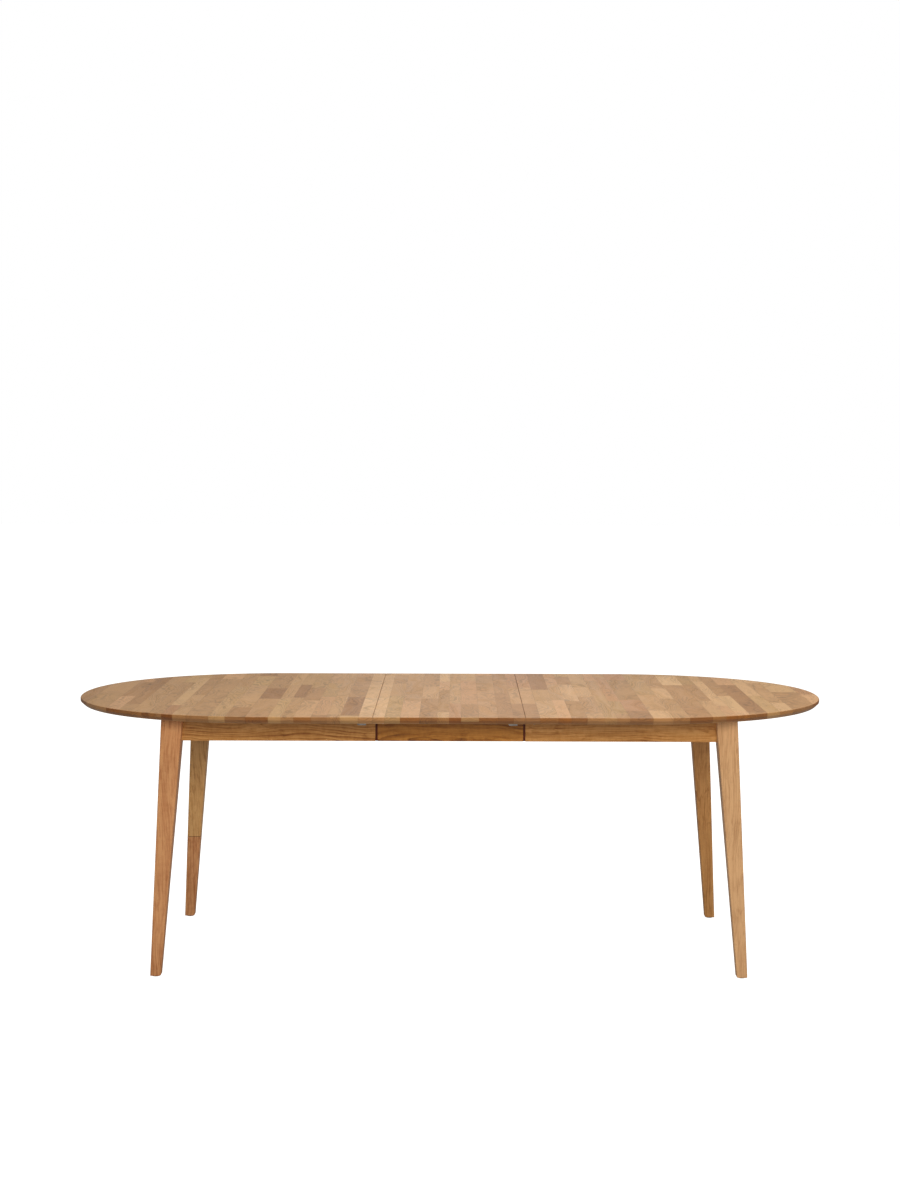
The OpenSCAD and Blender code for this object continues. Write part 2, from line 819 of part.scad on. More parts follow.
stop_tabs(1);  // stop_tabs_right
latch_plates(-seam_x);  // latch_plates_left
latch_plates(seam_x);  // latch_plates_leaf
latch_pivots(-seam_x);  // latch_pivots_left
latch_pivots(seam_x);  // latch_pivots_leaf
latch_arm(-seam_x, -1);  // latch_arm_front_left
latch_arm(-seam_x, 1);  // latch_arm_rear_left
latch_arm(seam_x, -1);  // latch_arm_front_leaf
latch_arm(seam_x, 1);  // latch_arm_rear_leaf
catch_plates(-seam_x);  // catch_plates_leaf
catch_plates(seam_x);  // catch_plates_right
half_screws(-1);  // screws_left
half_screws(1);  // screws_right
leaf_screws();  // screws_leaf
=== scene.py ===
import json
import math

import bmesh
import bpy
import numpy as np
from mathutils import Matrix, Vector


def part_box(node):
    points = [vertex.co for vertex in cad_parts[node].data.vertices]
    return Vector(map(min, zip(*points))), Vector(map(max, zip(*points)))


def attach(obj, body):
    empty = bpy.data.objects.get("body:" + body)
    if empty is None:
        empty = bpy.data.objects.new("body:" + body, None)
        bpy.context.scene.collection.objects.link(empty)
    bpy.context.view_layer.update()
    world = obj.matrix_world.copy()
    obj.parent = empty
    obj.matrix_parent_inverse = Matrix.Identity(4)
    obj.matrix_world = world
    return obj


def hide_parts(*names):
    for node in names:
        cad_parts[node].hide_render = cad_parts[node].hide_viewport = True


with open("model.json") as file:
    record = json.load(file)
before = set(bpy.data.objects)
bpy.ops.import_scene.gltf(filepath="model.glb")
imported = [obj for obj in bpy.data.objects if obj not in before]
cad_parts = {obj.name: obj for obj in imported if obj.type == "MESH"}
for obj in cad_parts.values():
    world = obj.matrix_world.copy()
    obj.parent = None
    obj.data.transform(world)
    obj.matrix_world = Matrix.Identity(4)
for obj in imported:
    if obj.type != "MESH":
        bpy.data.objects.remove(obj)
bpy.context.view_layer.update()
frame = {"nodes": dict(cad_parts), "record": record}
bodyOf = {node: body for body, nodes in frame["record"]["behaviour"]["bodies"].items() for node in nodes}
rightTop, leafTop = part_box("top_right"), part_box("leaf_top")
tableTop, underside = rightTop[1].z, rightTop[0].z
halfWidth, tipX = rightTop[1].y, rightTop[1].x
print("frame loaded,", len(bodyOf), "nodes")

cameraPlace = {"distance": 5.574, "height": 1.473, "pitch": 4.59, "yaw": -0.195, "roll": 0.143, "lens": 57.36}


def makeCamera(place):
    # stands back from the table's middle, looks slightly down, and is rolled a hair
    yaw, pitch, roll = (math.radians(place[key]) for key in ("yaw", "pitch", "roll"))
    ahead = Vector((math.sin(yaw), math.cos(yaw), 0))
    right = Vector((math.cos(yaw), -math.sin(yaw), 0))
    down = Vector((0, 0, -1))
    look = ahead * math.cos(pitch) + down * math.sin(pitch)
    top = ahead * math.sin(pitch) - down * math.cos(pitch)
    sideways = right * math.cos(roll) + top * math.sin(roll)
    upwards = top * math.cos(roll) - right * math.sin(roll)
    data = bpy.data.cameras.new("camera")
    data.lens = place["lens"]
    data.clip_end = 60
    camera = bpy.data.objects.new("camera", data)
    bpy.context.scene.collection.objects.link(camera)
    turn = Matrix((sideways, upwards, -look)).transposed().to_4x4()
    camera.matrix_world = Matrix.Translation(-ahead * place["distance"] - down * place["height"]) @ turn
    bpy.context.scene.camera = camera


makeCamera(cameraPlace)


meshRules = {"crispAngle": 32, "mergeWithin": 1e-5, "flatWithin": 1, "bevelFrom": 35}


def smoothByAngle(mesh):
    # smooth shading, with the edges sharper than the angle kept crisp
    work = bmesh.new()
    work.from_mesh(mesh)
    for face in work.faces:
        face.smooth = True
    for edge in work.edges:
        edge.smooth = edge.calc_face_angle(0) < math.radians(meshRules["crispAngle"])
    work.to_mesh(mesh)
    work.free()


def makePiece(name, points, faces, nodes, material):
    # points and faces make one closed mesh that stands for the CAD nodes
    mesh = bpy.data.meshes.new(name)
    mesh.from_pydata(points.tolist(), [], faces)
    mesh.validate()
    smoothByAngle(mesh)
    mesh.materials.append(material)
    piece = bpy.data.objects.new(name, mesh)
    bpy.context.scene.collection.objects.link(piece)
    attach(piece, bodyOf[nodes[0]])
    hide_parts(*nodes)
    return piece


def quads(loops):
    # joins each closed loop of point numbers to the next one, top to bottom
    upper, lower = loops[:-1], loops[1:]
    after = lambda row: np.roll(row, -1, axis=1)
    return np.stack([upper, lower, after(lower), after(upper)], axis=-1).reshape(-1, 4).tolist()


def easedCopy(node, width, material, segments=2):
    # the CAD shape with its triangles merged into whole faces and its sharp edges eased
    mesh = frame["nodes"][node].data.copy()
    mesh.name = node + "_eased"
    work = bmesh.new()
    work.from_mesh(mesh)
    bmesh.ops.remove_doubles(work, verts=work.verts, dist=meshRules["mergeWithin"])
    flat = math.radians(meshRules["flatWithin"])
    bmesh.ops.dissolve_limit(work, angle_limit=flat, verts=work.verts, edges=work.edges)
    work.to_mesh(mesh)
    work.free()
    mesh.materials.clear()
    mesh.materials.append(material)
    smoothByAngle(mesh)
    piece = bpy.data.objects.new(node + "_eased", mesh)
    bpy.context.scene.collection.objects.link(piece)
    ease = piece.modifiers.new("easedEdges", "BEVEL")
    ease.width = width
    ease.segments = segments
    ease.limit_method = "ANGLE"
    ease.angle_limit = math.radians(meshRules["bevelFrom"])
    ease.harden_normals = False
    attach(piece, bodyOf[node])
    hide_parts(node)
    return piece


def put(tree, kind, settings=(), sockets=()):
    # adds a node, sets its properties, and fills its sockets with values or links
    made = tree.nodes.new(kind)
    for key, value in dict(settings).items():
        setattr(made, key, value)
    for key, value in dict(sockets).items():
        if isinstance(value, bpy.types.NodeSocket):
            tree.links.new(value, made.inputs[key])
        else:
            made.inputs[key].default_value = value
    return made


def calc(tree, operation, *values, clamp=False):
    settings = {"operation": operation, "use_clamp": clamp}
    return put(tree, "ShaderNodeMath", settings, dict(enumerate(values))).outputs[0]


def vectorCalc(tree, operation, *values):
    made = put(tree, "ShaderNodeVectorMath", {"operation": operation}, dict(enumerate(values)))
    return made.outputs["Value"] if operation in ("LENGTH", "DOT_PRODUCT") else made.outputs["Vector"]


def rangeOf(tree, value, low, high, newLow=0.0, newHigh=1.0, smooth=True):
    kind = "SMOOTHSTEP" if smooth else "LINEAR"
    sockets = {"Value": value, "From Min": low, "From Max": high, "To Min": newLow, "To Max": newHigh}
    return put(tree, "ShaderNodeMapRange", {"interpolation_type": kind}, sockets).outputs[0]


def noiseOf(tree, vector, scale, detail=2.0, roughness=0.5, colour=False):
    made = put(tree, "ShaderNodeTexNoise", {"noise_dimensions": "3D"},
               {"Vector": vector, "Scale": scale, "Detail": detail, "Roughness": roughness})
    return made.outputs["Color" if colour else "Fac"]


def mixOf(tree, blend, factor, first, second):
    made = put(tree, "ShaderNodeMix", {"data_type": "RGBA", "blend_type": blend},
               {"Factor": factor, 6: first, 7: second})
    return made.outputs[2]


def rampOf(tree, factor, stops):
    made = put(tree, "ShaderNodeValToRGB", {}, {"Fac": factor})
    ramp = made.color_ramp
    while len(ramp.elements) < len(stops):
        ramp.elements.new(1.0)
    for element, (place, colour) in zip(ramp.elements, stops):
        element.position = place
        element.color = tint(colour)
    return made.outputs["Color"]


screenCurve = {"full": 255, "knee": 10, "slope": 12.92, "lift": 0.055, "power": 2.4}


def tint(colour):
    # a colour picked in 0-255 steps, made linear: ((c + lift) / (1 + lift)) ^ power above the knee
    full, knee, slope, lift, power = screenCurve.values()
    straight = [(c / full / slope) if c <= knee else ((c / full + lift) / (1 + lift)) ** power for c in colour]
    return (*straight, 1.0)


def greyOf(tree, value):
    return put(tree, "ShaderNodeCombineColor", {}, {0: value, 1: value, 2: value}).outputs[0]


def newGroup(name, inputs, outputs):
    group = bpy.data.node_groups.new(name, "ShaderNodeTree")
    for label, kind, value in inputs:
        socket = group.interface.new_socket(label, in_out="INPUT", socket_type="NodeSocket" + kind)
        if value is not None:
            socket.default_value = value
    for label, kind in outputs:
        group.interface.new_socket(label, in_out="OUTPUT", socket_type="NodeSocket" + kind)
    return group, group.nodes.new("NodeGroupInput").outputs, group.nodes.new("NodeGroupOutput").inputs


def useGroup(tree, group, sockets):
    made = put(tree, "ShaderNodeGroup", {"node_tree": group})
    for key, value in sockets.items():
        if isinstance(value, bpy.types.NodeSocket):
            tree.links.new(value, made.inputs[key])
        else:
            made.inputs[key].default_value = value
    return made.outputs


staveRhythm = {
    "fastSway": (1.9, 0.16), "slowSway": (0.73, 0.3), "offset": 400.0, "lengths": (0.75, 1.3), "start": 9.0,
    "lengthWave": (2.2, 0.26), "turn": 6.3, "pieceOffset": 50.0, "logLength": 23.0, "jointWidth": 0.0007}


def makeStaves(rhythm):
    # staves run along Y: a column number from x, then a piece number from y, each with its own chance numbers
    group, given, out = newGroup(
        "gluedStaves",
        [("Vector", "Vector", None), ("Width", "Float", 0.048), ("Length", "Float", 0.42),
         ("Seed", "Float", 0.0)],
        [("Tone", "Float"), ("Hue", "Float"), ("Figure", "Float"), ("Place", "Vector"), ("Joint", "Float")])
    tree = group
    split = put(tree, "ShaderNodeSeparateXYZ", {}, {0: given["Vector"]}).outputs
    across = calc(tree, "DIVIDE", split["X"], given["Width"])
    fast, slow = (calc(tree, "MULTIPLY", calc(tree, "SINE", calc(tree, "MULTIPLY", across, rate)), size)
                  for rate, size in (rhythm["fastSway"], rhythm["slowSway"]))
    across = calc(tree, "ADD", calc(tree, "ADD", across, calc(tree, "ADD", fast, slow)), rhythm["offset"])
    column = calc(tree, "FLOOR", across)
    chance = put(tree, "ShaderNodeTexWhiteNoise", {"noise_dimensions": "1D"},
                 {"W": calc(tree, "ADD", column, given["Seed"])})
    lots = put(tree, "ShaderNodeSeparateColor", {}, {0: chance.outputs["Color"]}).outputs
    length = calc(tree, "MULTIPLY", given["Length"], rangeOf(tree, lots[0], 0, 1, *rhythm["lengths"], False))
    start = calc(tree, "MULTIPLY", lots[1], rhythm["start"])
    along = calc(tree, "ADD", calc(tree, "DIVIDE", split["Y"], length), start)
    rate, size = rhythm["lengthWave"]
    turn = calc(tree, "MULTIPLY", lots[2], rhythm["turn"])
    wave = calc(tree, "SINE", calc(tree, "MULTIPLY_ADD", along, rate, turn))
    along = calc(tree, "ADD", calc(tree, "MULTIPLY_ADD", wave, size, along), rhythm["pieceOffset"])
    piece = calc(tree, "FLOOR", along)
    key = put(tree, "ShaderNodeCombineXYZ", {}, {0: column, 1: piece, 2: given["Seed"]}).outputs[0]
    draw = put(tree, "ShaderNodeTexWhiteNoise", {"noise_dimensions": "3D"}, {"Vector": key})
    drawn = put(tree, "ShaderNodeSeparateColor", {}, {0: draw.outputs["Color"]}).outputs
    nearSide = calc(tree, "MULTIPLY", calc(tree, "PINGPONG", across, 0.5), given["Width"])
    nearEnd = calc(tree, "MULTIPLY", calc(tree, "PINGPONG", along, 0.5), length)
    near = calc(tree, "MINIMUM", nearSide, nearEnd)
    tree.links.new(drawn[0], out["Tone"])
    tree.links.new(drawn[1], out["Hue"])
    tree.links.new(drawn[2], out["Figure"])
    inside = calc(tree, "MULTIPLY", calc(tree, "SUBTRACT", calc(tree, "FRACT", across), 0.5), given["Width"])
    fromLog = calc(tree, "MULTIPLY_ADD", calc(tree, "ADD", drawn[0], drawn[2]), rhythm["logLength"], split["Y"])
    place = put(tree, "ShaderNodeCombineXYZ", {}, {0: inside, 1: fromLog, 2: split["Z"]}).outputs[0]
    tree.links.new(place, out["Place"])
    tree.links.new(rangeOf(tree, near, 0.0, rhythm["jointWidth"], 1.0, 0.0), out["Joint"])
    return group


# each layer of the grain: its stretch along x, y and z, then its scale, detail and roughness
grainLayers = {
    "drift": ((1.0, 0.34, 1.0), 9.0, 3.0, 0.5), "fade": ((1.0, 0.12, 1.0), 24.0, 2.0, 0.5),
    "streaks": ((1.0, 0.05, 1.0), 170.0, 3.0, 0.65), "fibre": ((1.0, 0.03, 1.0), 520.0, 2.0, 0.6),
    "pores": ((1.0, 0.055, 1.0), 1500.0, 1.0, 0.5), "rays": ((0.5, 0.22, 3.0), 260.0, 1.0, 0.4),
    "curls": ((1.0, 0.3, 1.0), 22.0, 3.0, 0.55), "patches": ((1.0, 0.4, 1.0), 9.0, 1.0, 0.5),
    "mottle": ((0.45, 1.0, 0.45), 105.0, 2.0, 0.6)}
ringRules = {
    "drift": 3.0, "uneven": (0.55, 1.5), "fade": (0.36, 0.62, 0.15, 1.0),
    "rise": 2.2, "drop": (0.8, 1.0, 1.0, 0.0),
    "bandRate": 0.3, "bandRoughness": 0.6, "earlyWood": (0.12, 0.5, 1.0, 0.15), "poreCut": (0.6, 0.72),
    "rayCut": (0.62, 0.74), "curlWidth": 0.035, "patchCut": (0.5, 0.6)}


def layerOf(tree, vector, name, colour=False):
    stretch, scale, detail, roughness = grainLayers[name]
    return noiseOf(tree, vectorCalc(tree, "MULTIPLY", vector, stretch), scale, detail, roughness, colour)


def makeFigure(rules):
    # rings are the distance from a wavering pith line along Y, so faces show waves and cut ends show arcs;
    # the rings come in uneven widths and fade in and out along the board
    group, given, out = newGroup(
        "oakFigure",
        [("Vector", "Vector", None), ("Ring Gap", "Float", 0.0035), ("Pith X", "Float", 0.03),
         ("Pith Z", "Float", -0.05), ("Waver", "Float", 0.012)],
        [("Rings", "Float"), ("Bands", "Float"), ("Pores", "Float"), ("Fibre", "Float"), ("Rays", "Float"),
         ("Streaks", "Float"), ("Curls", "Float"), ("Mottle", "Float")])
    tree = group
    drift = layerOf(tree, given["Vector"], "drift", colour=True)
    bend = vectorCalc(tree, "SCALE", vectorCalc(tree, "SUBTRACT", drift, (0.5, 0.5, 0.5)))
    tree.links.new(calc(tree, "MULTIPLY", given["Waver"], rules["drift"]), bend.node.inputs["Scale"])
    bent = vectorCalc(tree, "ADD", given["Vector"], bend)
    split = put(tree, "ShaderNodeSeparateXYZ", {}, {0: bent}).outputs
    fromPith = put(tree, "ShaderNodeCombineXYZ", {}, {
        0: calc(tree, "SUBTRACT", split["X"], given["Pith X"]),
        2: calc(tree, "SUBTRACT", split["Z"], given["Pith Z"])}).outputs[0]
    radius = vectorCalc(tree, "LENGTH", fromPith)
    phase = calc(tree, "DIVIDE", radius, given["Ring Gap"])
    scale, size = rules["uneven"]
    uneven = noiseOf(tree, put(tree, "ShaderNodeCombineXYZ", {}, {0: phase}).outputs[0], scale, 1.0)
    phase = calc(tree, "MULTIPLY_ADD", uneven, size, phase)
    year = calc(tree, "FRACT", phase)
    fade = rangeOf(tree, layerOf(tree, bent, "fade"), *rules["fade"])
    drop = rangeOf(tree, year, *rules["drop"])
    rings = calc(tree, "MULTIPLY", calc(tree, "POWER", year, rules["rise"]), drop)
    rings = calc(tree, "MULTIPLY", rings, fade)
    slow = calc(tree, "MULTIPLY", phase, rules["bandRate"])
    slowPhase = put(tree, "ShaderNodeCombineXYZ", {}, {0: slow}).outputs[0]
    bands = noiseOf(tree, slowPhase, 1.0, 3.0, rules["bandRoughness"])
    streaks, fibre = layerOf(tree, bent, "streaks"), layerOf(tree, bent, "fibre")
    early = rangeOf(tree, year, *rules["earlyWood"])
    pores = calc(tree, "MULTIPLY", rangeOf(tree, layerOf(tree, bent, "pores"), *rules["poreCut"]), early)
    rays = rangeOf(tree, layerOf(tree, bent, "rays"), *rules["rayCut"])
    # curls: thin lines where a broad noise passes its middle value, in patches
    fromMiddle = calc(tree, "ABSOLUTE", calc(tree, "SUBTRACT", layerOf(tree, given["Vector"], "curls"), 0.5))
    nearLine = rangeOf(tree, fromMiddle, 0.0, rules["curlWidth"], 1.0, 0.0)
    patch = rangeOf(tree, layerOf(tree, given["Vector"], "patches"), *rules["patchCut"])
    curls = calc(tree, "MULTIPLY", nearLine, patch)
    # mottle: flecks of shine that lie across the grain
    mottle = layerOf(tree, bent, "mottle")
    for label, value in (("Rings", rings), ("Bands", bands), ("Pores", pores), ("Fibre", fibre), ("Rays", rays),
                         ("Streaks", streaks), ("Curls", curls), ("Mottle", mottle)):
        tree.links.new(value, out[label])
    return group


def makeBlotch():
    # slow change of tone in the oil, from broad noise
    inputs = [("Vector", "Vector", None), ("Size", "Float", 0.3)]
    group, given, out = newGroup("oilBlotch", inputs, [("Tone", "Float")])
    spread = calc(group, "DIVIDE", 1.0, given["Size"])
    made = put(group, "ShaderNodeTexNoise", {}, {"Vector": given["Vector"], "Scale": spread, "Detail": 3.0})
    group.links.new(made.outputs["Fac"], out["Tone"])
    return group


staves, figure, blotch = makeStaves(staveRhythm), makeFigure(ringRules), makeBlotch()


def newMaterial(name):
    material = bpy.data.materials.new(name)
    material.use_nodes = True
    tree = material.node_tree
    tree.nodes.clear()
    shader = put(tree, "ShaderNodeBsdfPrincipled")
    output = put(tree, "ShaderNodeOutputMaterial", {}, {"Surface": shader.outputs[0]})
    output.is_active_output = True
    return material, tree, shader


def swap(tree, vector, order, fold=""):
    # hands the axes over in another order, so that the grain, which is along Y, follows the board;
    # a folded axis is the same on both sides of the table
    split = put(tree, "ShaderNodeSeparateXYZ", {}, {0: vector}).outputs
    parts = {axis: calc(tree, "ABSOLUTE", split[axis]) if axis in fold else split[axis] for axis in order}
    return put(tree, "ShaderNodeCombineXYZ", {}, {i: parts[axis] for i, axis in enumerate(order)}).outputs[0]


topOak = {
    "staveWidth": 0.046, "staveLength": 0.38, "ringGap": 0.006, "waver": 0.045, "seed": 3.0,
    "pithDepth": 0.09, "pithSpread": 0.16, "roughness": 0.47, "roughSwing": 0.05, "poreRough": 0.2, "specular": 0.38,
    "rings": 0.95, "bands": 0.5, "curls": 0.22, "streaks": 0.45, "fibre": 0.25, "shade": (0.4, 1.4, 1.22, 0.62),
    "pinkShare": 0.30, "pinkFrom": (0.72, 1.0), "strawShare": 0.28, "strawFrom": (0.3, 0.0),
    "rayShare": 0.10, "poreShare": 0.42, "jointShare": 0.35, "ray": (214, 182, 144),
    "cloudSize": 0.28, "cloud": (0.3, 0.7, 0.96, 1.04), "rimFrom": (0.97, 0.75), "rimDarkness": (0.45, 1.0),
    "bump": {"Strength": 0.35, "Distance": 0.0002}, "jointDepth": 0.8,
    "tones": [(0.0, (164, 118, 74)), (0.06, (169, 123, 78)), (0.14, (178, 132, 85)), (0.5, (191, 146, 97)),
              (0.88, (203, 158, 108)), (1.0, (216, 172, 122))],
    "pink": (210, 152, 108), "straw": (190, 156, 94), "pore": (96, 62, 36), "joint": (116, 78, 46),
    # edge: the colour that darkens the rim, partly oil in the cut ends and partly painted shade on the sideways
    # faces
    "edge": (0.40, 0.235, 0.065, 1.0)}


def makeTopOak(kind):
    material, tree, shader = newMaterial("oiledOakStaves")
    place = put(tree, "ShaderNodeTexCoord").outputs["Object"]
    stave = useGroup(tree, staves, {"Vector": place, "Width": kind["staveWidth"], "Length": kind["staveLength"],
                                    "Seed": kind["seed"]})
    # each stave is cut from its own part of the log: the pith lies under it or to one side
    spread = kind["pithSpread"]
    pith = calc(tree, "MULTIPLY_ADD", stave["Figure"], spread, -spread / 2)
    wood = useGroup(tree, figure, {"Vector": stave["Place"], "Ring Gap": kind["ringGap"], "Pith X": pith,
                                   "Pith Z": tableTop - kind["pithDepth"], "Waver": kind["waver"]})
    base = rampOf(tree, stave["Tone"], kind["tones"])
    pinkness = calc(tree, "MULTIPLY", rangeOf(tree, stave["Hue"], *kind["pinkFrom"]), kind["pinkShare"])
    strawness = calc(tree, "MULTIPLY", rangeOf(tree, stave["Hue"], *kind["strawFrom"]), kind["strawShare"])
    warm = mixOf(tree, "MIX", pinkness, base, tint(kind["pink"]))
    warm = mixOf(tree, "MIX", strawness, warm, tint(kind["straw"]))
    lines = calc(tree, "MULTIPLY", wood["Bands"], kind["bands"])
    for layer in ("rings", "curls", "streaks", "fibre"):
        lines = calc(tree, "MULTIPLY_ADD", wood[layer.capitalize()], kind[layer], lines)
    cloud = useGroup(tree, blotch, {"Vector": place, "Size": kind["cloudSize"]})["Tone"]
    grain = rangeOf(tree, lines, *kind["shade"], False)
    grey = calc(tree, "MULTIPLY", grain, rangeOf(tree, cloud, *kind["cloud"], False))
    toned = mixOf(tree, "MULTIPLY", 1.0, warm, greyOf(tree, grey))
    rayed = mixOf(tree, "MIX", calc(tree, "MULTIPLY", wood["Rays"], kind["rayShare"]), toned, tint(kind["ray"]))
    poreShare = calc(tree, "MULTIPLY", wood["Pores"], kind["poreShare"])
    pored = mixOf(tree, "MIX", poreShare, rayed, tint(kind["pore"]))
    jointShare = calc(tree, "MULTIPLY", stave["Joint"], kind["jointShare"])
    jointed = mixOf(tree, "MIX", jointShare, pored, tint(kind["joint"]))
    # the rim is darker than the top and under faces, by how it faces: partly the cut ends drinking more oil, partly
    # painted shade on the sides turned away from the overhead lamp
    normal = put(tree, "ShaderNodeTexCoord").outputs["Normal"]
    facing = put(tree, "ShaderNodeSeparateXYZ", {}, {0: normal}).outputs
    rim = rangeOf(tree, calc(tree, "ABSOLUTE", facing["Z"]), *kind["rimFrom"])
    rimDarkness = rangeOf(tree, stave["Hue"], 0.0, 1.0, *kind["rimDarkness"], False)
    rimDarkened = mixOf(tree, "MULTIPLY", calc(tree, "MULTIPLY", rim, rimDarkness), jointed, kind["edge"])
    tree.links.new(rimDarkened, shader.inputs["Base Color"])
    level, swing = kind["roughness"], kind["roughSwing"]
    rough = calc(tree, "ADD", rangeOf(tree, wood["Bands"], 0.3, 0.7, level - swing, level + swing),
                 calc(tree, "MULTIPLY", wood["Pores"], kind["poreRough"]))
    tree.links.new(rough, shader.inputs["Roughness"])
    sunk = calc(tree, "ADD", wood["Pores"], calc(tree, "MULTIPLY", stave["Joint"], kind["jointDepth"]))
    height = calc(tree, "SUBTRACT", calc(tree, "MULTIPLY", wood["Fibre"], kind["fibre"]), sunk)
    bump = put(tree, "ShaderNodeBump", {}, {"Height": height, **kind["bump"]})
    tree.links.new(bump.outputs[0], shader.inputs["Normal"])
    shader.inputs["Specular IOR Level"].default_value = kind["specular"]
    return material


# what all aprons, legs and strips share
boardFinish = {
    "bands": 0.5, "curls": 0.2, "fibre": 0.25, "plainStreaks": 0.375, "shadeWidth": 0.85,
    "cloudSize": 0.16, "cloud": (0.3, 0.7, 0.94, 1.06), "pore": (96, 60, 34), "poreShare": 0.42,
    "rough": (0.3, 0.7, 0.43, 0.53), "poreRough": 0.2, "specular": 0.38,
    "bump": {"Strength": 0.35, "Distance": 0.0002}, "fibreDepth": 0.3,
    "glueEase": 0.0004, "glueLine": (0.0006, 0.0014, 0.7, 0.0), "glue": (84, 54, 30)}


def makeBoardOak(name, kind):
    material, tree, shader = newMaterial(name)
    place = put(tree, "ShaderNodeTexCoord").outputs["Object"]
    turned = vectorCalc(tree, "ADD", swap(tree, place, kind["axes"], kind["fold"]), kind["shift"])
    wood = useGroup(tree, figure, {"Vector": turned, "Ring Gap": kind["ringGap"], "Pith X": kind["pith"][0],
                                   "Pith Z": kind["pith"][1], "Waver": kind["waver"]})
    finish = boardFinish
    lines = calc(tree, "MULTIPLY", wood["Bands"], finish["bands"])
    weights = {"Rings": kind["ringDepth"], "Streaks": kind["streaks"], "Mottle": kind["mottle"],
               "Curls": finish["curls"], "Fibre": finish["fibre"]}
    for layer, weight in weights.items():
        lines = calc(tree, "MULTIPLY_ADD", wood[layer], weight, lines)
    low = finish["plainStreaks"] + kind["streaks"] / 2
    shade = rangeOf(tree, lines, low, low + finish["shadeWidth"], 0.0, 1.0, False)
    base = rampOf(tree, shade, kind["tones"])
    if "splice" in kind:
        # two lengths glued end to end, the lower one redder
        height = put(tree, "ShaderNodeSeparateXYZ", {}, {0: place}).outputs["Z"]
        joint, ease = kind["splice"], finish["glueEase"]
        lower = rangeOf(tree, height, joint + ease, joint - ease, 0.0, 1.0, False)
        base = mixOf(tree, "MIX", lower, base, rampOf(tree, shade, kind["lowerTones"]))
        fromJoint = calc(tree, "ABSOLUTE", calc(tree, "SUBTRACT", height, joint))
        base = mixOf(tree, "MIX", rangeOf(tree, fromJoint, *finish["glueLine"]), base, tint(finish["glue"]))
    cloud = useGroup(tree, blotch, {"Vector": place, "Size": finish["cloudSize"]})["Tone"]
    toned = mixOf(tree, "MULTIPLY", 1.0, base, greyOf(tree, rangeOf(tree, cloud, *finish["cloud"], False)))
    poreShare = calc(tree, "MULTIPLY", wood["Pores"], finish["poreShare"])
    pored = mixOf(tree, "MIX", poreShare, toned, tint(finish["pore"]))
    tree.links.new(pored, shader.inputs["Base Color"])
    rough = calc(tree, "ADD", rangeOf(tree, wood["Bands"], *finish["rough"]),
                 calc(tree, "MULTIPLY", wood["Pores"], finish["poreRough"]))
    tree.links.new(rough, shader.inputs["Roughness"])
    height = calc(tree, "SUBTRACT", calc(tree, "MULTIPLY", wood["Fibre"], finish["fibreDepth"]), wood["Pores"])
    bump = put(tree, "ShaderNodeBump", {}, {"Height": height, **finish["bump"]})
    tree.links.new(bump.outputs[0], shader.inputs["Normal"])
    shader.inputs["Specular IOR Level"].default_value = finish["specular"]
    return material


apronTones = [(0.0, (204, 148, 85)), (0.35, (177, 121, 61)), (0.7, (134, 80, 29)), (1.0, (90, 50, 17))]
leafTones = [(0.0, (182, 122, 53)), (0.35, (153, 96, 33)), (0.7, (112, 64, 18)), (1.0, (76, 41, 12))]
orangeTones = [(0.0, (208, 149, 97)), (0.35, (188, 126, 79)), (0.7, (158, 98, 53)), (1.0, (118, 70, 36))]
paleTones = [(0.0, (211, 164, 115)), (0.35, (190, 142, 96)), (0.7, (166, 116, 70)), (1.0, (134, 90, 50))]
mossTones = [(0.0, (213, 164, 105)), (0.35, (198, 147, 89)), (0.7, (162, 114, 64)), (1.0, (126, 84, 44))]
tanTones = [(0.0, (202, 146, 86)), (0.35, (182, 126, 70)), (0.7, (152, 98, 50)), (1.0, (118, 72, 35))]

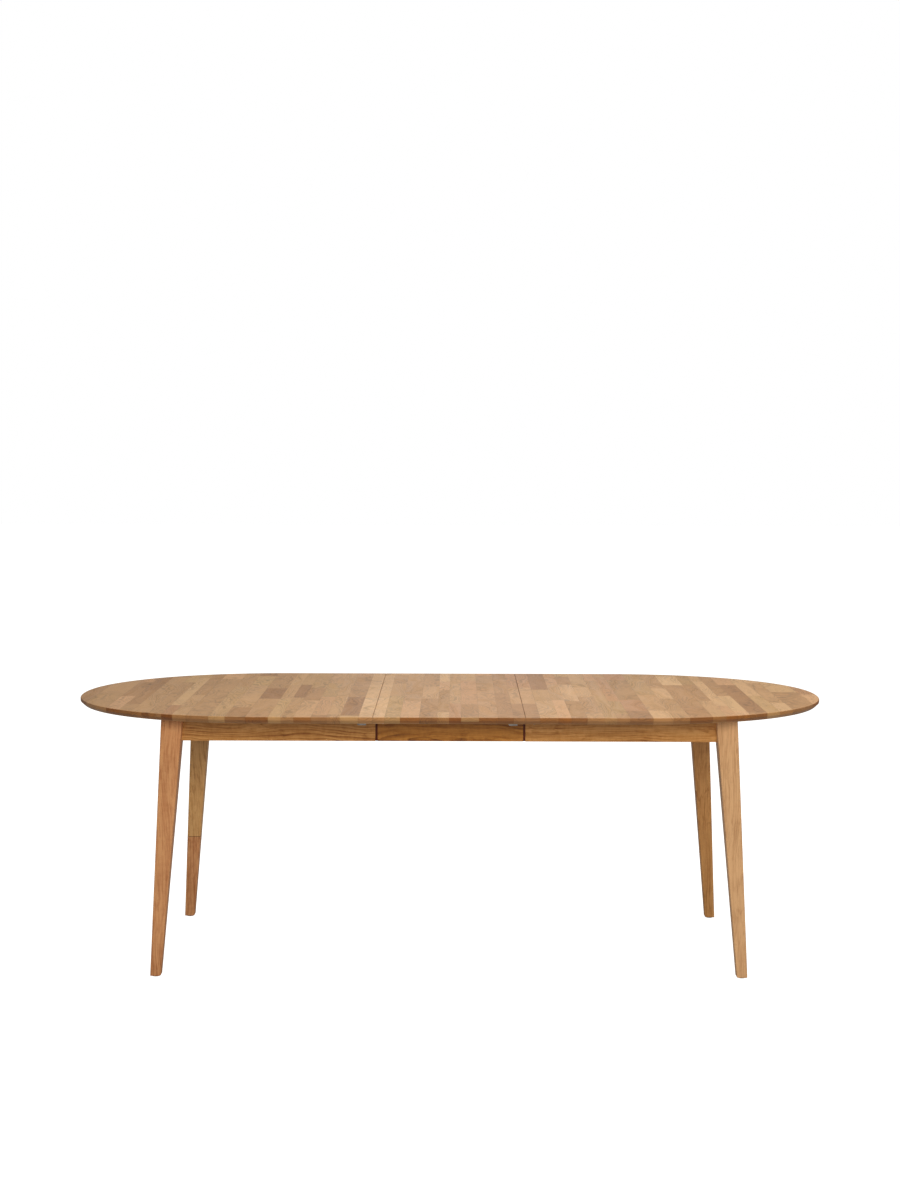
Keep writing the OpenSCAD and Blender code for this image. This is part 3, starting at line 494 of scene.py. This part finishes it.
boardKinds = {
    "apronOak": {"axes": "ZXY", "fold": "Y", "shift": (0.0, 0.0, 0.0), "ringGap": 0.0065, "pith": (0.62, 0.27),
                 "waver": 0.015, "ringDepth": 0.7, "streaks": 0.9, "mottle": 0.3, "tones": apronTones},
    "rightApronOak": {"axes": "ZXY", "fold": "Y", "shift": (0.0, 8.2, 0.0), "ringGap": 0.0055, "pith": (0.58, 0.29),
                      "waver": 0.012, "ringDepth": 0.5, "streaks": 0.9, "mottle": 0.3, "tones": apronTones},
    "leafApronOak": {"axes": "ZXY", "fold": "Y", "shift": (0.0, 3.7, 0.0), "ringGap": 0.0065, "pith": (0.655, 0.28),
                     "waver": 0.020, "ringDepth": 0.85, "streaks": 0.9, "mottle": 0.3, "tones": leafTones},
    "endApronOak": {"axes": "ZYX", "fold": "X", "shift": (0.0, 1.3, 0.0), "ringGap": 0.008, "pith": (0.64, 0.72),
                    "waver": 0.034, "ringDepth": 0.7, "streaks": 0.9, "mottle": 0.3, "tones": apronTones},
    "legOakOrange": {"axes": "XZY", "fold": "XY", "shift": (0.0, 5.1, 0.0), "ringGap": 0.007, "pith": (0.68, 0.29),
                     "waver": 0.014, "ringDepth": 0.4, "streaks": 1.4, "mottle": 0.25, "tones": orangeTones},
    "legOakPale": {"axes": "XZY", "fold": "XY", "shift": (0.0, 9.4, 0.0), "ringGap": 0.006, "pith": (0.66, 0.32),
                   "waver": 0.016, "ringDepth": 0.45, "streaks": 1.3, "mottle": 0.08, "tones": paleTones},
    "legOakSpliced": {"axes": "XZY", "fold": "XY", "shift": (0.0, 2.2, 0.0), "ringGap": 0.007, "pith": (0.70, 0.27),
                      "waver": 0.016, "ringDepth": 0.4, "streaks": 1.3, "mottle": 0.2, "tones": mossTones,
                      "splice": 0.258, "lowerTones": orangeTones},
    "legOakTan": {"axes": "XZY", "fold": "XY", "shift": (0.0, 7.3, 0.0), "ringGap": 0.007, "pith": (0.69, 0.28),
                  "waver": 0.016, "ringDepth": 0.4, "streaks": 1.3, "mottle": 0.2, "tones": tanTones},
    # the gap strips' very dark browns are painted shade: the dark of the narrow slot between the aprons, put into
    # the strips' own colour
    "gapShadeOak": {"axes": "XZY", "fold": "Y", "shift": (0.0, 4.3, 0.0), "ringGap": 0.004, "pith": (0.18, 0.30),
                   "waver": 0.01, "ringDepth": 0.4, "streaks": 0.9, "mottle": 0.2,
                   "tones": [(0.0, (104, 44, 22)), (0.5, (84, 34, 16)), (1.0, (60, 24, 10))]}}


beech = {
    "stripe": ((1.0, 0.05, 1.0), 60.0, 3.0, 0.6), "fleck": ((1.0, 0.12, 1.0), 900.0, 1.0), "fleckCut": (0.62, 0.72),
    "fleckShare": 0.4, "tones": [(0.25, (214, 178, 138)), (0.75, (190, 150, 108))], "fleckTone": (150, 106, 70),
    "rough": (0.2, 0.8, 0.42, 0.56), "bump": {"Strength": 0.15, "Distance": 0.0002}}


def makeBeech(axes, kind):
    # pale close-grained wood: short dark flecks and a faint stripe
    material, tree, shader = newMaterial("waxedBeech" + axes)
    place = swap(tree, put(tree, "ShaderNodeTexCoord").outputs["Object"], axes)
    stretch, *settings = kind["stripe"]
    stripe = noiseOf(tree, vectorCalc(tree, "MULTIPLY", place, stretch), *settings)
    stretch, *settings = kind["fleck"]
    spots = noiseOf(tree, vectorCalc(tree, "MULTIPLY", place, stretch), *settings)
    fleck = calc(tree, "MULTIPLY", rangeOf(tree, spots, *kind["fleckCut"]), kind["fleckShare"])
    flecked = mixOf(tree, "MIX", fleck, rampOf(tree, stripe, kind["tones"]), tint(kind["fleckTone"]))
    tree.links.new(flecked, shader.inputs["Base Color"])
    tree.links.new(rangeOf(tree, stripe, *kind["rough"]), shader.inputs["Roughness"])
    bump = put(tree, "ShaderNodeBump", {}, {"Height": stripe, **kind["bump"]})
    tree.links.new(bump.outputs[0], shader.inputs["Normal"])
    return material


metals = {
    "bareSteel": {"colour": (176, 178, 182), "dark": (140, 142, 148), "rough": 0.34, "streak": (0.02, 1.0, 1.0)},
    "zincPlate": {"colour": (186, 180, 172), "dark": (150, 146, 141), "rough": 0.42, "streak": (1.0, 0.04, 1.0)}}
metalSurface = {
    "streaks": (700.0, 3.0, 0.6), "cloud": (45.0, 3.0, 0.6), "cloudCut": (0.35, 0.7), "spots": (260.0, 2.0),
    "spotCut": (0.62, 0.75), "spotShare": 0.35, "smoother": 0.06, "rougher": 0.08, "spotRough": 0.15,
    "bump": {"Strength": 0.12, "Distance": 0.0001}}


def makeMetal(name, kind, surface):
    # rolled sheet: fine streaks along X, cloudy plating, and small dull spots
    material, tree, shader = newMaterial(name)
    place = put(tree, "ShaderNodeTexCoord").outputs["Object"]
    streaks = noiseOf(tree, vectorCalc(tree, "MULTIPLY", place, kind["streak"]), *surface["streaks"])
    cloud = noiseOf(tree, place, *surface["cloud"])
    spots = rangeOf(tree, noiseOf(tree, place, *surface["spots"]), *surface["spotCut"])
    base = mixOf(tree, "MIX", rangeOf(tree, cloud, *surface["cloudCut"]), tint(kind["colour"]), tint(kind["dark"]))
    base = mixOf(tree, "MIX", calc(tree, "MULTIPLY", spots, surface["spotShare"]), base, tint(kind["dark"]))
    tree.links.new(base, shader.inputs["Base Color"])
    shader.inputs["Metallic"].default_value = 1.0
    smooth, coarse = kind["rough"] - surface["smoother"], kind["rough"] + surface["rougher"]
    rough = calc(tree, "ADD", rangeOf(tree, streaks, 0.3, 0.7, smooth, coarse),
                 calc(tree, "MULTIPLY", spots, surface["spotRough"]))
    tree.links.new(rough, shader.inputs["Roughness"])
    bump = put(tree, "ShaderNodeBump", {}, {"Height": streaks, **surface["bump"]})
    tree.links.new(bump.outputs[0], shader.inputs["Normal"])
    return material


nylonSurface = {
    "pits": 1400.0, "cloud": 80.0, "detail": 2.0, "tones": [(0.3, (30, 30, 31)), (0.7, (44, 43, 42))],
    "rough": (0.3, 0.7, 0.45, 0.65), "bump": {"Strength": 0.2, "Distance": 0.0001}}


def makeNylon(surface):
    material, tree, shader = newMaterial("blackNylon")
    place = put(tree, "ShaderNodeTexCoord").outputs["Object"]
    pitted = noiseOf(tree, place, surface["pits"], surface["detail"])
    base = rampOf(tree, noiseOf(tree, place, surface["cloud"], surface["detail"]), surface["tones"])
    tree.links.new(base, shader.inputs["Base Color"])
    tree.links.new(rangeOf(tree, pitted, *surface["rough"]), shader.inputs["Roughness"])
    bump = put(tree, "ShaderNodeBump", {}, {"Height": pitted, **surface["bump"]})
    tree.links.new(bump.outputs[0], shader.inputs["Normal"])
    return material


oakStaves = makeTopOak(topOak)
boardOak = {name: makeBoardOak(name, kind) for name, kind in boardKinds.items()}
beechLong, beechCross = makeBeech("YXZ", beech), makeBeech("XYZ", beech)
steel, zinc = (makeMetal(name, kind, metalSurface) for name, kind in metals.items())
nylon = makeNylon(nylonSurface)
print("materials made")

topEdge = {"endReach": 0.567, "endPower": 2.08, "round": 0.003, "band": 0.009, "bevelIn": 0.011,
           "arris": 0.0007, "underEase": 0.0012, "turn": (0.12, 0.1), "foot": (0.3, 0.2),
           "rows": 150, "columns": 20, "roundSteps": 7}


def edgeProfile(edge):
    # a quarter round from the top surface to the band, the band, a soft turn, the bevel, and an eased foot
    thick = tableTop - underside
    angle = np.linspace(0, math.pi / 2, edge["roundSteps"])
    depth = edge["round"] * (1 - np.cos(angle))
    inset = edge["round"] * (1 - np.sin(angle))
    ease = edge["underEase"]
    slope = edge["bevelIn"] / (thick - edge["band"])
    (start, end), (up, back) = edge["turn"], edge["foot"]
    rest = np.array([
        (edge["band"] - ease, 0), (edge["band"], start * ease), (edge["band"] + ease, slope * ease + end * ease),
        (thick - ease, edge["bevelIn"] - slope * ease), (thick - up * ease, edge["bevelIn"] + back * ease),
        (thick, edge["bevelIn"] + ease)])
    return np.concatenate([depth, rest[:, 0]]), np.concatenate([inset, rest[:, 1]])


def seamInset(depth, edge):
    # a 45 degree arris at the top and at the bottom of the seam's upright face
    thick = tableTop - underside
    return np.maximum(np.maximum(edge["arris"] - depth, edge["arris"] - (thick - depth)), 0)


def boardMesh(left, right, across, heights, columns):
    # every level is a grid between a left and a right line; levels are joined around their borders
    share = np.linspace(0, 1, columns)
    x = left[:, :, None] + (right - left)[:, :, None] * share
    y = np.broadcast_to(across[:, :, None], x.shape)
    z = np.broadcast_to(heights[:, None, None], x.shape)
    points = np.stack([x, y, z], axis=-1).reshape(-1, 3)
    index = np.arange(len(points)).reshape(x.shape)
    sides = [index[:, 0, :-1], index[:, :-1, -1], index[:, -1, :0:-1], index[:, :0:-1, 0]]
    border = np.concatenate(sides, axis=1)
    cell = lambda g: np.stack([g[:-1, :-1], g[:-1, 1:], g[1:, 1:], g[1:, :-1]], axis=-1).reshape(-1, 4)
    faces = np.concatenate([cell(index[0]), cell(index[-1])[:, ::-1], np.array(quads(border))])
    used, faces = np.unique(faces, return_inverse=True)
    return points[used], faces.reshape(-1, 4).tolist()


def endCurve(inset, edge):
    # superellipse: x = reach * cos^(2/n), y = half width * sin^(2/n), each point moved in along its normal
    angle = np.radians(np.linspace(-90, 90, edge["rows"]))
    cosine, sine = np.abs(np.cos(angle)), np.abs(np.sin(angle))
    power = 2 / edge["endPower"]
    x = tipX - edge["endReach"] + edge["endReach"] * cosine ** power
    y = np.sign(angle) * halfWidth * sine ** power
    slope = np.stack([cosine ** (2 - power) / edge["endReach"],
                      np.sign(angle) * sine ** (2 - power) / halfWidth])
    slope /= np.linalg.norm(slope, axis=0)
    return x - slope[0] * inset[:, None], y - slope[1] * inset[:, None]


def makeHalf(name, side, edge):
    depth, inset = edgeProfile(edge)
    rim, across = endCurve(inset, edge)
    seam = np.broadcast_to((rightTop[0].x + seamInset(depth, edge))[:, None], rim.shape)
    left, right = (seam, rim) if side > 0 else (-rim, -seam)
    points, faces = boardMesh(left, right, across, tableTop - depth, edge["columns"])
    return makePiece(name, points, faces, ["top_right" if side > 0 else "top_left"], oakStaves)


def makeLeaf(name, edge):
    depth, inset = edgeProfile(edge)
    rows = np.linspace(-1, 1, edge["rows"])
    across = (halfWidth - inset)[:, None] * rows
    right = np.broadcast_to((leafTop[1].x - seamInset(depth, edge))[:, None], across.shape)
    points, faces = boardMesh(-right, right, across, tableTop - depth, edge["columns"])
    return makePiece(name, points, faces, ["leaf_top"], oakStaves)


makeHalf("leftHalfBoards", -1, topEdge)
makeHalf("rightHalfBoards", 1, topEdge)
makeLeaf("leafBoards", topEdge)
print("top made")

legShape = {"round": 0.0035, "flat": 0.012, "footEase": 0.0008, "innerCut": 0.003, "cutSlope": 0.6,
            "cornerSteps": 5, "levels": [0.12, 0.3, 0.5]}
hair = 1e-4
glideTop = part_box("leg_front_right")[0].z
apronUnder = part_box("apron_end_right")[0].z


def legLine(node, z):
    # the leg's middle and half width at each height, straight from head to foot, measured on its CAD solid
    spots = np.array([v.co for v in frame["nodes"][node].data.vertices])
    outer = np.sign(spots[:, :2].mean(0))
    head, foot = spots[:, 2] > underside - hair, spots[:, 2] < glideTop + hair
    ends = [np.abs(spots[end][:, :2]) for end in (head, foot)]
    middles = [(part.max(0) + part.min(0)) / 2 for part in ends]
    halves = [(part.max(0) - part.min(0)).max() / 2 for part in ends]
    share = (underside - z) / (underside - glideTop)
    middle = middles[0] + (middles[1] - middles[0]) * share[:, None]
    return middle, halves[0] + (halves[1] - halves[0]) * share, outer


def makeLeg(name, node, material, shape):
    # the corners are rounded, the inner corner is flat above the aprons' lower edge, and the foot is eased:
    # drawn in by e - sqrt(e^2 - (e - height)^2), and on its inner side by a sloping cut
    ease, cut, slope = shape["footEase"], shape["innerCut"], shape["cutSlope"]
    foot = [glideTop, glideTop + 0.3 * ease, glideTop + ease, glideTop + 0.6 * cut, glideTop + cut]
    z = np.array(foot + shape["levels"] + [apronUnder - hair, apronUnder + hair, underside])
    middle, half, outer = legLine(node, z)
    up = z - glideTop
    pull = np.where(up < ease, ease - np.sqrt(np.maximum(ease ** 2 - (ease - up) ** 2, 0)), 0)
    inner = np.where(up < cut, (cut - up) * slope, 0)
    rings = []
    turn = np.linspace(0, math.pi / 2, shape["cornerSteps"])
    for level in range(len(z)):
        h = half[level] - pull[level]
        flat = z[level] > apronUnder
        corner = []
        for quarter in range(4):
            isInner = quarter == 2
            r = shape["flat"] if (isInner and flat) else shape["round"]
            if isInner and flat:
                share = np.linspace(0, 1, len(turn))
                arc = np.stack([r * (1 - share), r * share], 1)
            else:
                arc = np.stack([r * np.cos(turn), r * np.sin(turn)], 1)
            arc = arc + (h - r)
            spin = quarter * math.pi / 2
            corner.append(np.stack([arc[:, 0] * math.cos(spin) - arc[:, 1] * math.sin(spin),
                                    arc[:, 0] * math.sin(spin) + arc[:, 1] * math.cos(spin)], 1))
        ring = np.concatenate(corner)
        ring[:, 0] = np.where(ring[:, 0] < 0, ring[:, 0] * (1 - inner[level] / h), ring[:, 0])
        ring = (ring + middle[level]) * outer
        rings.append(np.column_stack([ring, np.full(len(ring), z[level])]))
    rings = np.array(rings[::-1])
    if outer[0] * outer[1] < 0:
        rings = rings[:, ::-1]
    index = np.arange(rings.shape[0] * rings.shape[1]).reshape(rings.shape[:2])
    faces = quads(index) + [index[0].tolist(), index[-1][::-1].tolist()]
    return makePiece(name, rings.reshape(-1, 3), faces, [node], material)


legs = {
    "frontLeftLeg": ("leg_front_left", "legOakOrange"), "frontRightLeg": ("leg_front_right", "legOakPale"),
    "rearLeftLeg": ("leg_rear_left", "legOakSpliced"), "rearRightLeg": ("leg_rear_right", "legOakTan")}
for name, (node, kind) in legs.items():
    makeLeg(name, node, boardOak[kind], legShape)
print("legs made")

longApron = {"left": "apronOak", "right": "rightApronOak"}
# width of the eased edge of each kind of part
eased = {"apron": 0.0015, "slide": 0.0008, "rail": 0.001, "block": 0.001, "strip": 0.0002, "glide": 0.0006}
for end in ("front", "rear"):
    for side in ("left", "right"):
        easedCopy("apron_" + end + "_" + side, eased["apron"], boardOak[longApron[side]], 3)
        easedCopy("slide_bar_" + end + "_" + side, eased["slide"], beechLong)
    easedCopy("leaf_apron_" + end, eased["apron"], boardOak["leafApronOak"], 3)
    easedCopy("slide_middle_" + end, eased["slide"], beechLong)
for side in ("left", "right"):
    easedCopy("apron_end_" + side, eased["apron"], boardOak["endApronOak"], 3)
    easedCopy("seam_rail_" + side, eased["rail"], beechCross)
# the strips behind the apron gaps take the dark oak whose browns are painted shade of the slot
for node in ("gap_strips_leaf", "gap_strips_right"):
    easedCopy(node, eased["strip"], boardOak["gapShadeOak"], 1)
easedCopy("leaf_blocks", eased["block"], beechLong)

metalNodes = {
    "leg_braces": (0.0006, steel, "steel"), "top_angles": (0.0005, steel, "steel"),
    "stop_tabs": (0.0004, steel, "steel"), "latch_pivots": (0.0004, steel, "steel"),
    "leg_nuts": (0.0005, zinc, "zinc"), "latch_plates": (0.0005, zinc, "zinc"), "latch_arm": (0.0005, zinc, "zinc"),
    "catch_plates": (0.0005, zinc, "zinc"), "pinion_bolt": (0.0004, zinc, "zinc"),
    "leg_bolts": (0.0005, zinc, "zinc")}
for node in bodyOf:
    for start, (width, material, slot) in metalNodes.items():
        if node.startswith(start):
            easedCopy(node, width, material)
    if node.startswith("glides"):
        easedCopy(node, eased["glide"], nylon)
    if node.startswith(("rack_", "screws_")) or node in ("pinion_front", "pinion_rear"):
        for place in frame["nodes"][node].material_slots:
            place.material = steel
print("fittings made")


# the floor and the room show white to the camera, and light the table with less
stage = {
    "floorTones": [(0.3, (182, 182, 181)), (0.7, (186, 186, 185))], "floorCloud": 3.0, "floorRough": 0.9,
    "floorGlow": (0.05, 2.1), "floorSize": 30.0, "roomLight": 0.38}


def makeFloor(look):
    material, tree, shader = newMaterial("paleFloor")
    place = put(tree, "ShaderNodeTexCoord").outputs["Object"]
    mottled = rampOf(tree, noiseOf(tree, place, look["floorCloud"], 3.0), look["floorTones"])
    tree.links.new(mottled, shader.inputs["Base Color"])
    tree.links.new(mottled, shader.inputs["Emission Color"])
    seen = put(tree, "ShaderNodeLightPath").outputs["Is Camera Ray"]
    tree.links.new(rangeOf(tree, seen, 0, 1, *look["floorGlow"], False), shader.inputs["Emission Strength"])
    shader.inputs["Roughness"].default_value = look["floorRough"]
    mesh = bpy.data.meshes.new("floor")
    size = look["floorSize"]
    corners = [(-size, -size, 0), (size, -size, 0), (size, size, 0), (-size, size, 0)]
    mesh.from_pydata(corners, [], [(0, 1, 2, 3)])
    mesh.materials.append(material)
    floor = bpy.data.objects.new("floor", mesh)
    bpy.context.scene.collection.objects.link(floor)


def makeLamp(name, place, aim, size, power, shines=False):
    # only a lamp that shines is mirrored in the oiled wood
    data = bpy.data.lights.new(name, "AREA")
    data.shape = "RECTANGLE"
    data.size, data.size_y = size
    data.energy = power
    lamp = bpy.data.objects.new(name, data)
    lamp.visible_camera = False
    lamp.visible_glossy = shines
    bpy.context.scene.collection.objects.link(lamp)
    direction = Vector(aim) - Vector(place)
    lamp.matrix_world = Matrix.Translation(place) @ direction.to_track_quat("-Z", "Y").to_matrix().to_4x4()


def makeWorld(strength):
    # white behind the table, and a dimmer white for the light that falls on it
    world = bpy.data.worlds.new("softRoom")
    world.use_nodes = True
    tree = world.node_tree
    seen = put(tree, "ShaderNodeLightPath").outputs["Is Camera Ray"]
    tree.links.new(rangeOf(tree, seen, 0, 1, strength, 1.0, False), tree.nodes["Background"].inputs["Strength"])
    tree.nodes["Background"].inputs["Color"].default_value = (1.0, 1.0, 1.0, 1.0)
    bpy.context.scene.world = world


# each lamp: its place, what it points at, its size, its power, and whether the wood mirrors it
lamps = {
    "overhead": ((0.45, -0.4, 2.6), (0.4, 0, 0.7), (1.7, 1.5), 23, True),
    "frontFill": ((0.6, -4.6, 1.9), (0, 0, 0.6), (2.5, 1.2), 119),
    "leftFill": ((-4.6, 1.4, 1.5), (0, 0, 0.5), (1.8, 1.4), 24),
    "rearGlow": ((0.2, 5.2, 1.9), (0.1, 0, 0.75), (1.8, 1.2), 5, True),
    "rightFill": ((4.6, 1.4, 1.5), (0, 0, 0.5), (1.8, 1.4), 30)}
makeFloor(stage)
makeWorld(stage["roomLight"])
for name, settings in lamps.items():
    makeLamp(name, *settings)
bpy.context.scene.view_settings.view_transform = "Standard"
print("scene lit")
